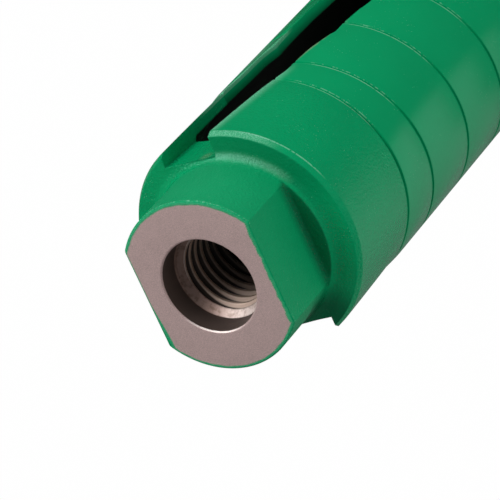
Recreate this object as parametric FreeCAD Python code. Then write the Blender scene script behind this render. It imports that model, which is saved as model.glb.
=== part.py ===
import FreeCAD, Part
import math
import os

# Slotted dry core bit with a screw-on hub, in millimetres.
# Frame: origin at the middle of the cutting rim, +Z up along the axis to the hub.
# The flats of the hub face +X and -X, and the side slots open towards -Y and +Y.

# Overall sizes
overall_length = 165.0
barrel_diameter = 39.5
barrel_wall = 2.0

# Hub boss with its spanner flats, and the neck below it
hub_length = 14.0
across_flats = 24.0
flat_depth = 3.0
flat_length = 12.8
hub_edge = 0.4
neck_fillet = 4.2
shoulder_chamfer_width = 0.6
shoulder_chamfer_height = 1.1

# Screw socket of the hub: recess, cone and thread
thread_diameter = 16.0
thread_pitch = 2.0
recess_clearance = 0.4
recess_depth = 4.4
mouth_chamfer = 0.15

# Plug and skirt of the hub; the barrel is welded on below the skirt
plug_thickness = 7.5
plug_corner = 2.0
skirt_length = 19.5
seam_width = 0.6
seam_depth = 0.3

# Spiral groove, which winds out of the seam and down the barrel
spiral_pitch = 15.2
spiral_length = 108.0
spiral_start_angle = 40.5
spiral_width = 0.6
spiral_depth = 0.3

# Side slots, and how deep their cutter goes into the shoulder
slot_width = 10.1
slot_depth = 4.05
slot_length = 80.0

# Middle line of a slot: how far below the shoulder, how far towards +X
slot_line = [(0, 3.1), (26, -0.7), (31, -0.9), (36, -2.2), (42, -2.3)]
slot_slant = 6.8

# Shallow hollow in the wall beside each slot
hollow_depth = 0.5
hollow_length = 19.0
hollow_runout = 4.5
hollow_turn = 30.0

# Cutting segments on the barrel's rim
segment_height = 9.0
segment_arc = 66.0
outer_relief = 1.25
inner_relief = 0.55
segment_edge = 0.4

# Sizes that follow from the ones above
barrel_radius = barrel_diameter / 2
bore_radius = barrel_radius - barrel_wall
hub_radius = across_flats / 2 + flat_depth
minor_radius = thread_diameter / 2 - thread_pitch * math.sqrt(3) * 5 / 16
recess_radius = (thread_diameter + recess_clearance) / 2
shoulder_z = overall_length - hub_length
plug_z = shoulder_z - plug_thickness
seam_z = shoulder_z - skirt_length
chamfer_radius = barrel_radius - shoulder_chamfer_width
fillet = min(neck_fillet, chamfer_radius - hub_radius)
far = 2 * barrel_diameter
up = FreeCAD.Vector(0, 0, 1)
centre = FreeCAD.Vector(0, 0, 0)
segment_count = 4
slot_count = 2


def at(x, z):
    """A point of a profile in the XZ plane."""
    return FreeCAD.Vector(x, 0, z)


def lines(points):
    """Straight edges through the points, without those of no length."""
    ends = [p for k, p in enumerate(points) if k == 0 or p.distanceToPoint(points[k - 1]) > 0.001]
    return Part.makePolygon(ends).Edges


def face_of(edges):
    """The flat face inside a closed run of edges."""
    return Part.Face(Part.Wire(edges))


def revolved(points, angle=360):
    """The solid that a closed profile of straight lines sweeps round Z."""
    return face_of(lines(points + [points[0]])).revolve(centre, up, angle)


def turned(shape, angle):
    """A copy of the shape turned round the axis."""
    copy = shape.copy()
    copy.rotate(centre, up, angle)
    return copy


def all_round(tool, count):
    """The tool repeated evenly round the axis."""
    return [turned(tool, 360 * k / count) for k in range(count)]


def quarter_arc(start, end, bulge):
    """A quarter circle between two points, whose middle lies towards bulge."""
    middle = (start + end) * 0.5
    outward = (bulge - middle).normalize()
    radius = start.distanceToPoint(end) / math.sqrt(2)
    crown = middle + outward * radius * (1 - math.sqrt(0.5))
    return Part.Arc(start, crown, end).toShape()


def hub_blank():
    """Boss, concave neck, shoulder, plug and hollow skirt as one turned piece."""
    boss_end = at(hub_radius, shoulder_z + fillet)
    neck_end = at(hub_radius + fillet, shoulder_z)
    top = at(0, overall_length)
    edges = lines([top, at(hub_radius - hub_edge, overall_length),
                   at(hub_radius, overall_length - hub_edge), boss_end])
    edges.append(quarter_arc(boss_end, neck_end, at(hub_radius, shoulder_z)))
    edges += lines([neck_end, at(chamfer_radius, shoulder_z),
                    at(barrel_radius, shoulder_z - shoulder_chamfer_height),
                    at(barrel_radius, seam_z + seam_width / 2),
                    at(barrel_radius - seam_depth, seam_z),
                    at(bore_radius, seam_z), at(bore_radius, plug_z - plug_corner),
                    at(bore_radius - plug_corner, plug_z), at(0, plug_z), top])
    return face_of(edges).revolve(centre, up, 360)


def socket_tool():
    """Recess, lead-in cone and thread bore, right through the plug."""
    ledge_z = overall_length - recess_depth
    cone = recess_radius - minor_radius
    above = overall_length + mouth_chamfer
    return revolved([at(0, above), at(recess_radius + 2 * mouth_chamfer, above),
                     at(recess_radius, overall_length - mouth_chamfer),
                     at(recess_radius, ledge_z), at(minor_radius, ledge_z - cone),
                     at(minor_radius, plug_z - 1), at(0, plug_z - 1)])


def flat_tool():
    """What comes off the +X side of the boss to leave a flat."""
    corner = FreeCAD.Vector(across_flats / 2, -far, overall_length - flat_length)
    return Part.makeBox(far, 2 * far, flat_length + 1, corner)


def slot_tool(floor):
    """A slanted slot towards -Y with a round end, cut in as far as the floor."""
    half = slot_width / 2
    first_depth, first_place = slot_line[0]
    depth, place = slot_line[1]
    rise = (first_place - place) / (depth - first_depth)
    middle = [at(first_place + rise * hub_length, shoulder_z + hub_length)]
    middle += [at(x, shoulder_z - z) for z, x in slot_line]
    run = shoulder_z - slot_length - middle[-1].z
    slant = math.tan(math.radians(slot_slant))
    end = at(middle[-1].x + run * slant, shoulder_z - slot_length)
    side = at(half, 0)
    left = [p - side for p in middle + [end]]
    right = [p + side for p in middle + [end]]
    edges = lines(left)
    edges.append(Part.Arc(left[-1], end - up * half, right[-1]).toShape())
    edges += lines(right[::-1] + [left[0]])
    face = face_of(edges)
    face.translate(FreeCAD.Vector(0, -floor, 0))
    return face.extrude(FreeCAD.Vector(0, floor - far, 0))


def hollow_tool():
    """A shallow flat beside the slot, which deepens away from the shoulder."""
    deepest_z = shoulder_z - hollow_length
    edges = lines([at(barrel_radius + 1, shoulder_z), at(barrel_radius, shoulder_z),
                   at(barrel_radius - hollow_depth, deepest_z),
                   at(barrel_radius, deepest_z - hollow_runout),
                   at(barrel_radius + 1, deepest_z - hollow_runout),
                   at(barrel_radius + 1, shoulder_z)])
    face = face_of(edges)
    face.translate(FreeCAD.Vector(0, -barrel_radius, 0))
    tool = face.extrude(FreeCAD.Vector(0, barrel_diameter, 0))
    return turned(tool, hollow_turn - 90)


def make_hub():
    """Hub with its socket, flats, slot floors and hollows."""
    solid = hub_blank().cut(socket_tool())
    solid = solid.cut(all_round(flat_tool(), 2))
    solid = solid.cut(all_round(slot_tool(barrel_radius - slot_depth), slot_count))
    return solid.cut(all_round(hollow_tool(), slot_count))


def spiral_tool():
    """The V of the groove, swept up its helix until it is past the seam."""
    helix = Part.makeHelix(spiral_pitch, spiral_length + seam_width, barrel_radius)
    bottom = at(barrel_radius - spiral_depth, 0)
    low = at(barrel_radius + spiral_depth, -spiral_width)
    high = at(barrel_radius + spiral_depth, spiral_width)
    section = Part.makePolygon([bottom, low, high, bottom])
    tool = Part.Wire(helix).makePipeShell([section], True, True)
    tool.translate(up * (seam_z - spiral_length))
    return turned(tool, spiral_start_angle - 360 * spiral_length / spiral_pitch)


def end_tool():
    """What comes off the top of the tube, to leave its half of the seam's V."""
    top = seam_z + 2 * seam_width
    return revolved([at(0, seam_z), at(barrel_radius - seam_depth, seam_z),
                     at(barrel_radius + seam_depth, seam_z - seam_width),
                     at(barrel_radius + seam_depth, top), at(0, top)])


def make_barrel():
    """Tube with the spiral groove, cut to length, and the lower part of the slots."""
    top = seam_z + 2 * seam_width
    tube = revolved([at(bore_radius, segment_height), at(barrel_radius, segment_height),
                     at(barrel_radius, top), at(bore_radius, top)])
    tube = tube.cut(spiral_tool())
    tube = tube.cut(end_tool())
    tube = tube.cut(all_round(slot_tool(0), slot_count))
    return tube.cut(all_round(hollow_tool(), slot_count))


def make_segment():
    """One abrasive segment, set out from both faces of the barrel's wall."""
    outer = barrel_radius + outer_relief
    inner = bore_radius - inner_relief
    arc = revolved([at(inner + segment_edge, 0), at(outer - segment_edge, 0),
                    at(outer, segment_edge), at(outer, segment_height),
                    at(inner, segment_height), at(inner, segment_edge)], segment_arc)
    return turned(arc, -segment_arc / 2)


def save(shape, name):
    """Write one piece as its own file."""
    solid = shape.Solids[0]
    solid.exportStep("parts/" + name + ".step")
    print(name, len(shape.Solids), solid.isValid(), round(solid.Volume, 1))


os.makedirs("parts", exist_ok=True)
save(make_hub(), "hub")
save(make_barrel(), "barrel")
for number, segment in enumerate(all_round(make_segment(), segment_count), 1):
    save(segment, "segment_" + str(number))
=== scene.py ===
"""Dressed model of a slotted dry core bit, standing on its cutting rim.

Every size is in millimetres in the frame of the part: the origin is the middle
of the cutting rim and +Z runs up the axis to the screw-on hub.
"""
from __future__ import annotations

import logging
import math
from dataclasses import dataclass, field, replace
from enum import Enum

import bmesh
import bpy
from mathutils import Euler, Matrix, Vector, noise


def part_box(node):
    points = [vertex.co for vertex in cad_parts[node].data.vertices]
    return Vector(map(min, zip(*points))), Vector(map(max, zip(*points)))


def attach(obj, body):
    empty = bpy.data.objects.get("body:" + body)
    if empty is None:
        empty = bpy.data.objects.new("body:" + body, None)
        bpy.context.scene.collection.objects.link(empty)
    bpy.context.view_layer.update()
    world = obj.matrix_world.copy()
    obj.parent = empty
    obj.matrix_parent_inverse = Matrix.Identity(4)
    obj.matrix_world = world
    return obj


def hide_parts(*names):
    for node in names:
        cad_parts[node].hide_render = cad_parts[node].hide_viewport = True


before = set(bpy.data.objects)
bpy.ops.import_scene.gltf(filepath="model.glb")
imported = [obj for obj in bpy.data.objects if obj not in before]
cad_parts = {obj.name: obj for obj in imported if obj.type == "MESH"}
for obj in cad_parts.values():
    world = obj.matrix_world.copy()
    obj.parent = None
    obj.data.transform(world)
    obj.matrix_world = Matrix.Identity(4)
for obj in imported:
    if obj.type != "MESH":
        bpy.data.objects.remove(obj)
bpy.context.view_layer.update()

MM = 0.001
UP = Vector((0, 0, 1))
LOG = logging.getLogger("core_bit")

Point = tuple[float, float]
Corner = tuple[float, float, float]
Colour = tuple[float, float, float, float]


def node_span(node: str) -> tuple[Vector, Vector]:
    """Lowest and highest corner of a node of the frame.

    Args:
        node: name of the node.

    Returns:
        Both corners, in millimetres.
    """
    low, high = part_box(node)
    return Vector(low) / MM, Vector(high) / MM


class Shading(Enum):
    """How the faces of a piece are shaded."""

    TURNED = 28.0
    ROUGH = 60.0


def rounded(corners: list[Corner], steps: int = 5) -> list[Point]:
    """A closed outline whose corners are rounded.

    Args:
        corners: place across, place up and radius of each corner.
        steps: straight pieces in each round.

    Returns:
        The points of the outline, in the same order.
    """
    outline: list[Point] = []
    for index, (x, z, radius) in enumerate(corners):
        here = Vector((x, z))
        before = Vector(corners[index - 1][:2]) - here
        after = Vector(corners[(index + 1) % len(corners)][:2]) - here
        half = before.angle(after) / 2
        room = 0.49 * min(before.length, after.length)
        back = min(radius / math.tan(half), room) if radius else 0.0
        if back < 1e-4:
            outline.append((x, z))
            continue
        first = here + before.normalized() * back
        last = here + after.normalized() * back
        heart = here + (before.normalized() + after.normalized()).normalized() * back / math.cos(half)
        sweep = (first - heart).angle_signed(last - heart)
        for step in range(steps + 1):
            arm = (first - heart).copy()
            arm.rotate(Matrix.Rotation(-sweep * step / steps, 2))
            outline.append(tuple(heart + arm))
    return outline


def smooth_line(points: list[Point], steps: int = 6) -> list[Point]:
    """A soft line through a few points, as a cutter held by hand leaves.

    Args:
        points: the points that the line passes, in order.
        steps: pieces between two points.

    Returns:
        The points of the soft line.
    """
    line: list[Point] = []
    padded = [points[0], *points, points[-1]]
    for a, b, c, d in zip(padded, padded[1:], padded[2:], padded[3:]):
        for step in range(steps):
            t = step / steps
            line.append(tuple(
                0.5 * (2 * q + (r - p) * t + (2 * p - 5 * q + 4 * r - s) * t * t
                       + (3 * q - p - 3 * r + s) * t ** 3)
                for p, q, r, s in zip(a, b, c, d)))
    line.append(points[-1])
    return line


def closed_loop(bm: bmesh.types.BMesh, points: list[Vector]) -> list:
    """Vertices and edges of a closed outline, in metres.

    Args:
        bm: mesh that takes them.
        points: corners in millimetres.

    Returns:
        The new vertices, then the new edges.
    """
    verts = [bm.verts.new(point * MM) for point in points]
    edges = [bm.edges.new((verts[k - 1], verts[k])) for k in range(len(verts))]
    return verts + edges


def lathe(outline: list[Point], steps: int) -> bmesh.types.BMesh:
    """The ring that a closed outline sweeps in a full turn.

    Args:
        outline: distance from the axis and height of each point.
        steps: flats in a turn.

    Returns:
        The closed mesh.
    """
    bm = bmesh.new()
    ring = closed_loop(bm, [Vector((r, 0, z)) for r, z in outline])
    bmesh.ops.spin(bm, geom=ring, cent=(0, 0, 0), axis=UP, angle=math.tau, steps=steps, use_merge=True)
    bmesh.ops.remove_doubles(bm, verts=bm.verts, dist=0.001 * MM)
    bmesh.ops.recalc_face_normals(bm, faces=bm.faces)
    return bm


def helix_bar(section: list[Point], pitch: float, turns: float, angle: float, low: float,
              steps: int) -> bmesh.types.BMesh:
    """A bar of one section that climbs round the axis.

    Args:
        section: distance from the axis and height of each corner.
        pitch: climb in a turn.
        turns: how many turns.
        angle: where it starts, in degrees.
        low: height where it starts.
        steps: pieces in a turn.

    Returns:
        The closed mesh.
    """
    bm = bmesh.new()
    begin = Matrix.Rotation(math.radians(angle), 3, UP)
    loop = closed_loop(bm, [begin @ Vector((r, 0, low + z)) for r, z in section])
    count = max(1, round(turns * steps))
    made = bmesh.ops.spin(bm, geom=loop, cent=(0, 0, 0), axis=UP, dvec=UP * (pitch / steps) * MM,
                          angle=math.tau * count / steps, steps=count)
    for end in (loop, made["geom_last"]):
        bmesh.ops.contextual_create(bm, geom=[e for e in end if isinstance(e, bmesh.types.BMEdge)])
    bmesh.ops.recalc_face_normals(bm, faces=bm.faces)
    return bm


def prism(outline: list[Point], near: float, deep: float) -> bmesh.types.BMesh:
    """An upright outline pushed along Y.

    Args:
        outline: X and Z of each corner.
        near: Y of one end.
        deep: Y of the other end.

    Returns:
        The closed mesh.
    """
    bm = bmesh.new()
    loop = closed_loop(bm, [Vector((x, near, z)) for x, z in outline])
    face = bm.faces.new(loop[:len(outline)])
    made = bmesh.ops.extrude_face_region(bm, geom=[face], use_keep_orig=True)
    moved = [v for v in made["geom"] if isinstance(v, bmesh.types.BMVert)]
    bmesh.ops.translate(bm, verts=moved, vec=(0, (deep - near) * MM, 0))
    bmesh.ops.recalc_face_normals(bm, faces=bm.faces)
    return bm


def as_object(name: str, bm: bmesh.types.BMesh) -> bpy.types.Object:
    """Puts a mesh into the scene as an object at the origin.

    Args:
        name: the object's name.
        bm: the mesh, which is freed.

    Returns:
        The new object.
    """
    mesh = bpy.data.meshes.new(name)
    bm.to_mesh(mesh)
    bm.free()
    made = bpy.data.objects.new(name, mesh)
    bpy.context.scene.collection.objects.link(made)
    return made


def carve(piece: bpy.types.Object, cutter: bmesh.types.BMesh) -> None:
    """Cuts a piece with a closed body, which is used up.

    Args:
        piece: the object that is cut.
        cutter: the body that cuts.
    """
    tool = as_object("cutter", cutter)
    step = piece.modifiers.new("cut", "BOOLEAN")
    step.operation = "DIFFERENCE"
    step.solver = "EXACT"
    step.object = tool
    seen = piece.evaluated_get(bpy.context.evaluated_depsgraph_get())
    result = bpy.data.meshes.new_from_object(seen)
    piece.modifiers.clear()
    old = piece.data
    piece.data = result
    result.name = piece.name
    bpy.data.meshes.remove(old)
    used = tool.data
    bpy.data.objects.remove(tool)
    bpy.data.meshes.remove(used)


def half_turns(cutter: bmesh.types.BMesh) -> list[bmesh.types.BMesh]:
    """A cutter and its copy from the far side of the axis.

    Args:
        cutter: the body on one side.

    Returns:
        Both bodies.
    """
    twin = cutter.copy()
    bmesh.ops.rotate(twin, verts=twin.verts, cent=(0, 0, 0), matrix=Matrix.Rotation(math.pi, 3, UP))
    return [cutter, twin]


def shade(piece: bpy.types.Object, shading: Shading) -> None:
    """Smooth faces with sharp edges past an angle.

    Args:
        piece: the object that is shaded.
        shading: how sharp an edge has to be.
    """
    piece.data.shade_smooth()
    piece.data.set_sharp_from_angle(angle=math.radians(shading.value))


def seat(piece: bpy.types.Object, node: str, material: bpy.types.Material) -> None:
    """Gives a piece its material and its place in the frame.

    Args:
        piece: the dressed piece.
        node: the node that it stands for.
        material: the piece's finish.
    """
    piece.data.materials.clear()
    piece.data.materials.append(material)
    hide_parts(node)
    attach(piece, "root")
    LOG.info("%s: %d faces", piece.name, len(piece.data.polygons))


class Signal:
    """One output socket, on which sums are written as plain Python."""

    def __init__(self, graph: Graph, socket: bpy.types.NodeSocket) -> None:
        """Wraps a socket of the graph.

        Args:
            graph: the graph that takes the new nodes.
            socket: the output that is wrapped.
        """
        self.graph = graph
        self.socket = socket

    def __add__(self, other: Signal | float) -> Signal:
        """Sum.

        Args:
            other: value that is added.

        Returns:
            The sum.
        """
        return self.graph.sum("ADD", self, other)

    def __radd__(self, other: float) -> Signal:
        """Sum, number first.

        Args:
            other: number that this is added to.

        Returns:
            The sum.
        """
        return self.graph.sum("ADD", other, self)

    def __sub__(self, other: Signal | float) -> Signal:
        """Difference.

        Args:
            other: value that is taken off.

        Returns:
            The difference.
        """
        return self.graph.sum("SUBTRACT", self, other)

    def __rsub__(self, other: float) -> Signal:
        """Difference, number first.

        Args:
            other: number that this is taken from.

        Returns:
            The difference.
        """
        return self.graph.sum("SUBTRACT", other, self)

    def __mul__(self, other: Signal | float) -> Signal:
        """Product.

        Args:
            other: value to multiply by.

        Returns:
            The product.
        """
        return self.graph.sum("MULTIPLY", self, other)

    def __rmul__(self, other: float) -> Signal:
        """Product, number first.

        Args:
            other: number to multiply by.

        Returns:
            The product.
        """
        return self.graph.sum("MULTIPLY", other, self)

    def __truediv__(self, other: Signal | float) -> Signal:
        """Quotient.

        Args:
            other: value to divide by.

        Returns:
            The quotient.
        """
        return self.graph.sum("DIVIDE", self, other)

    def __pow__(self, other: float) -> Signal:
        """Power.

        Args:
            other: the exponent.

        Returns:
            The power.
        """
        return self.graph.sum("POWER", self, other)

    def size(self) -> Signal:
        """The value without its sign.

        Returns:
            The value, 0 or more.
        """
        return self.graph.sum("ABSOLUTE", self)

    def least(self, other: Signal | float) -> Signal:
        """The smaller of two values.

        Args:
            other: value to compare with.

        Returns:
            The smaller one.
        """
        return self.graph.sum("MINIMUM", self, other)

    def most(self, other: Signal | float) -> Signal:
        """The larger of two values.

        Args:
            other: value to compare with.

        Returns:
            The larger one.
        """
        return self.graph.sum("MAXIMUM", self, other)

    def rise(self, low: float, high: float) -> Signal:
        """A soft step from 0 at low to 1 at high.

        Args:
            low: value that gives 0.
            high: value that gives 1.

        Returns:
            The step, from 0 to 1.
        """
        node = self.graph.node("ShaderNodeMapRange", {"interpolation_type": "SMOOTHSTEP"},
                               {"Value": self, "From Min": low, "From Max": high})
        return Signal(self.graph, node.outputs["Result"])

    def band(self, low: float, high: float, edge: float) -> Signal:
        """1 between two values and 0 outside them.

        Args:
            low: where the band starts.
            high: where it ends.
            edge: width of its soft edges.

        Returns:
            The band, from 0 to 1.
        """
        return self.rise(low - edge, low) * (1 - self.rise(high, high + edge))


@dataclass(frozen=True)
class Place:
    """Where a point of a piece lies: raw in metres, the rest in millimetres."""

    raw: bpy.types.NodeSocket
    x: Signal
    y: Signal
    z: Signal
    r: Signal

    def facing(self, side: float) -> Signal:
        """How nearly the point lies on one side of the axis.

        Args:
            side: the side, as an angle round the axis in degrees.

        Returns:
            Cosine of the angle to that side.
        """
        way = math.radians(side)
        return (self.x * math.cos(way) + self.y * math.sin(way)) / self.r


class Graph:
    """The nodes of one material, made in code."""

    def __init__(self, name: str) -> None:
        """Starts an empty material.

        Args:
            name: name of the material.
        """
        self.material = bpy.data.materials.new(name)
        self.material.use_nodes = True
        self.tree = self.material.node_tree
        self.tree.nodes.clear()

    def node(self, kind: str, settings: dict | None = None, inputs: dict | None = None) -> bpy.types.Node:
        """Makes one node.

        Args:
            kind: the node's type.
            settings: properties of the node, which are set first.
            inputs: value or link of each input, by name or number.

        Returns:
            The new node.
        """
        made = self.tree.nodes.new(kind)
        for key, value in (settings or {}).items():
            setattr(made, key, value)
        for key, value in (inputs or {}).items():
            if isinstance(value, Signal):
                self.tree.links.new(value.socket, made.inputs[key])
            elif isinstance(value, bpy.types.NodeSocket):
                self.tree.links.new(value, made.inputs[key])
            else:
                made.inputs[key].default_value = value
        return made

    def sum(self, operation: str, *terms: Signal | float) -> Signal:
        """One step of arithmetic.

        Args:
            operation: name of the step.
            terms: values or signals.

        Returns:
            The result.
        """
        node = self.node("ShaderNodeMath", {"operation": operation}, dict(enumerate(terms)))
        return Signal(self, node.outputs[0])

    def place(self) -> Place:
        """Where a point of the piece lies.

        Returns:
            Its coordinates and its distance from the axis.
        """
        raw = self.node("ShaderNodeTexCoord").outputs["Object"]
        parts = self.node("ShaderNodeSeparateXYZ", inputs={0: raw})
        x, y, z = (Signal(self, parts.outputs[k]) * (1 / MM) for k in range(3))
        return Place(raw, x, y, z, (x * x + y * y) ** 0.5)

    def dots(self, at: Place, cell: float, radius: float) -> Signal:
        """Small round dots, strewn at random.

        Args:
            at: the place on the piece.
            cell: mean distance between dots in millimetres.
            radius: radius of a dot in millimetres.

        Returns:
            1 in a dot, 0 elsewhere.
        """
        node = self.node("ShaderNodeTexVoronoi", inputs={"Vector": at.raw, "Scale": 1 / (cell * MM)})
        return 1 - Signal(self, node.outputs["Distance"]).rise(0.7 * radius / cell, 1.2 * radius / cell)

    def noise(self, at: Place, grain: float, detail: float = 2.0,
              stretch: Point = (1.0, 1.0)) -> Signal:
        """Cloudy noise about 0.5.

        Args:
            at: the place on the piece.
            grain: size of its spots in millimetres.
            detail: how much finer noise it holds.
            stretch: scale across and along the axis.

        Returns:
            The noise.
        """
        scaled = self.node("ShaderNodeMapping", inputs={
            "Vector": at.raw, "Scale": (stretch[0], stretch[0], stretch[1])}).outputs[0]
        node = self.node("ShaderNodeTexNoise", inputs={
            "Vector": scaled, "Scale": 1 / (grain * MM), "Detail": detail, "Roughness": 0.55})
        return Signal(self, node.outputs[0])

    def blend(self, share: Signal | float, first: object, second: object) -> bpy.types.NodeSocket:
        """A mix of two colours.

        Args:
            share: how much of the second.
            first: colour or socket at 0.
            second: colour or socket at 1.

        Returns:
            The mixed colour.
        """
        node = self.node("ShaderNodeMix", {"data_type": "RGBA"}, {0: share, 6: first, 7: second})
        return node.outputs[2]

    def blend_values(self, share: Signal, first: Signal, second: Signal) -> Signal:
        """A mix of two values.

        Args:
            share: how much of the second.
            first: value at 0.
            second: value at 1.

        Returns:
            The mixed value.
        """
        return first * (1 - share) + second * share

    def tint(self, colour: object, amount: Signal | float) -> bpy.types.NodeSocket:
        """A colour made lighter or darker.

        Args:
            colour: colour or socket.
            amount: what it is multiplied by.

        Returns:
            The new colour.
        """
        grey = self.node("ShaderNodeCombineColor", inputs={0: amount, 1: amount, 2: amount}).outputs[0]
        node = self.node("ShaderNodeMix", {"data_type": "RGBA", "blend_type": "MULTIPLY"},
                         {0: 1.0, 6: colour, 7: grey})
        return node.outputs[2]

    def soft_edges(self, radius: float) -> bpy.types.NodeSocket:
        """The normal, with edges as if they were rounded.

        Args:
            radius: radius of the edges in millimetres.

        Returns:
            The normal.
        """
        return self.node("ShaderNodeBevel", {"samples": 8}, {"Radius": radius * MM}).outputs[0]

    def relief(self, height: Signal, depth: float, normal: bpy.types.NodeSocket) -> bpy.types.NodeSocket:
        """Fine relief on a surface.

        Args:
            height: the relief, from 0 to 1.
            depth: its height in millimetres.
            normal: normal of the surface below it.

        Returns:
            The normal.
        """
        node = self.node("ShaderNodeBump", inputs={
            "Strength": 1.0, "Distance": depth * MM, "Height": height, "Normal": normal})
        return node.outputs[0]

    def surface(self, inputs: dict) -> bpy.types.NodeSocket:
        """One surface shader.

        Args:
            inputs: the shader's inputs.

        Returns:
            Its output.
        """
        return self.node("ShaderNodeBsdfPrincipled", inputs=inputs).outputs[0]

    def over(self, share: Signal | float, below: bpy.types.NodeSocket,
             above: bpy.types.NodeSocket) -> bpy.types.NodeSocket:
        """One shader over another.

        Args:
            share: how much of the upper one shows.
            below: the lower shader.
            above: the upper shader.

        Returns:
            The mixed shader.
        """
        return self.node("ShaderNodeMixShader", inputs={0: share, 1: below, 2: above}).outputs[0]

    def finish(self, shader: bpy.types.NodeSocket) -> bpy.types.Material:
        """Closes the material.

        Args:
            shader: the shader that the surface shows.

        Returns:
            The finished material.
        """
        self.node("ShaderNodeOutputMaterial", inputs={"Surface": shader})
        return self.material


@dataclass(frozen=True)
class TurnedLines:
    """The seam and the spiral groove: painted glints on the lips, painted shade in the bottoms and slightly
    barrelled bands between them.

    Attributes:
        seam: height of the seam.
        radius: radius of the wall.
        pitch: climb of the groove in a turn.
        angle: where the groove meets the seam, in degrees.
        half: half the width of a line.
        crown: how far the bands seem to bulge.
        lip_side: the side where the lips get a painted glint, in degrees.
        glint_strength: how bright a lip's painted glint is.
        dark_side: the side where the bottoms are dark, in degrees.
        bottom_shade: how dark their painted shade is.
    """

    seam: float
    radius: float
    pitch: float = 15.2
    angle: float = 40.5
    half: float = 0.33
    crown: float = 0.34
    lip_side: float = 224.0
    glint_strength: float = 0.75
    dark_side: float = 140.0
    bottom_shade: float = 0.24

    def gaps(self, graph: Graph, at: Place) -> tuple[Signal, Signal]:
        """How far a point of the wall lies from the seam and from the groove.

        Args:
            graph: the material's nodes.
            at: the place on the piece.

        Returns:
            Both distances along the axis, positive above the line.
        """
        turn = graph.sum("ARCTAN2", at.y, at.x) / math.tau
        climb = (at.z - self.seam) / self.pitch - turn + self.angle / 360 + 0.5
        spiral = (graph.sum("FRACT", climb) - 0.5) * self.pitch
        spiral = spiral + at.z.rise(self.seam - 0.1, self.seam + 0.1) * (self.pitch * 2)
        return at.z - self.seam, spiral

    def bulge(self, gaps: tuple[Signal, Signal]) -> Signal:
        """Height of the slightly barrelled bands.

        Args:
            gaps: distances from the seam and the groove.

        Returns:
            The height, from 0 beside a line to 1 in the middle of a band.
        """
        seam, spiral = (1 - (gap.size() / (self.pitch / 2)).least(1.0) for gap in gaps)
        return 1 - seam ** 2.0 - spiral ** 2.0

    def marks(self, graph: Graph, at: Place, gaps: tuple[Signal, Signal]) -> tuple[Signal, Signal, Signal]:
        """Painted glints on the lips and painted shade in the bottoms of the lines.

        Args:
            graph: the material's nodes.
            at: the place on the piece.
            gaps: distances from the seam and the groove.

        Returns:
            How bright the painted glints on the lips are, how dark the painted shade in the bottoms is, then
            1 in every line.
        """
        near = gaps[0].size().least(gaps[1].size())
        outside = at.r.rise(self.radius - 0.6, self.radius - 0.5)
        crumbly = graph.noise(at, 0.5, 3.0)
        beside = near.band(self.half - 0.06, self.half + 0.04, 0.07)
        above = gaps[0].band(0, 1, 0.05).most(gaps[1].band(0, 1, 0.05))
        # Painted glints: pale lines on the lips, on the lit side only.
        lips = beside * graph.blend_values(above, crumbly.rise(0.46, 0.60) * 0.6, crumbly.rise(0.28, 0.50))
        lips = lips * at.facing(self.lip_side).rise(0.90, 0.965) * outside
        inside = (1 - near.rise(self.half - 0.05, self.half + 0.32)) * outside
        # Painted shade in the bottoms, strongest on the dark side.
        bottoms = inside * (at.facing(self.dark_side).rise(0.52, 0.76) * 0.85 + 0.15)
        return lips, bottoms, inside


@dataclass(frozen=True)
class Wear:
    """What has happened to a coat of paint, and the light and shade painted onto it.

    Attributes:
        pale: how much pale dust and painted highlight it shows, from 0 to 1.
        shade: how dark its painted shade is, where 1 is plain paint.
        matt: where it has no gloss at all, from 0 to 1.
        thin: where brown primer shows in specks, from 0 to 1.
        worn: where it is scuffed, from 0 to 1.
        dull: how much rougher it is than plain paint.
    """

    pale: Signal
    shade: Signal
    matt: Signal
    thin: Signal | float = 0.0
    worn: Signal | float = 0.0
    dull: Signal | float = 0.0


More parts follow.
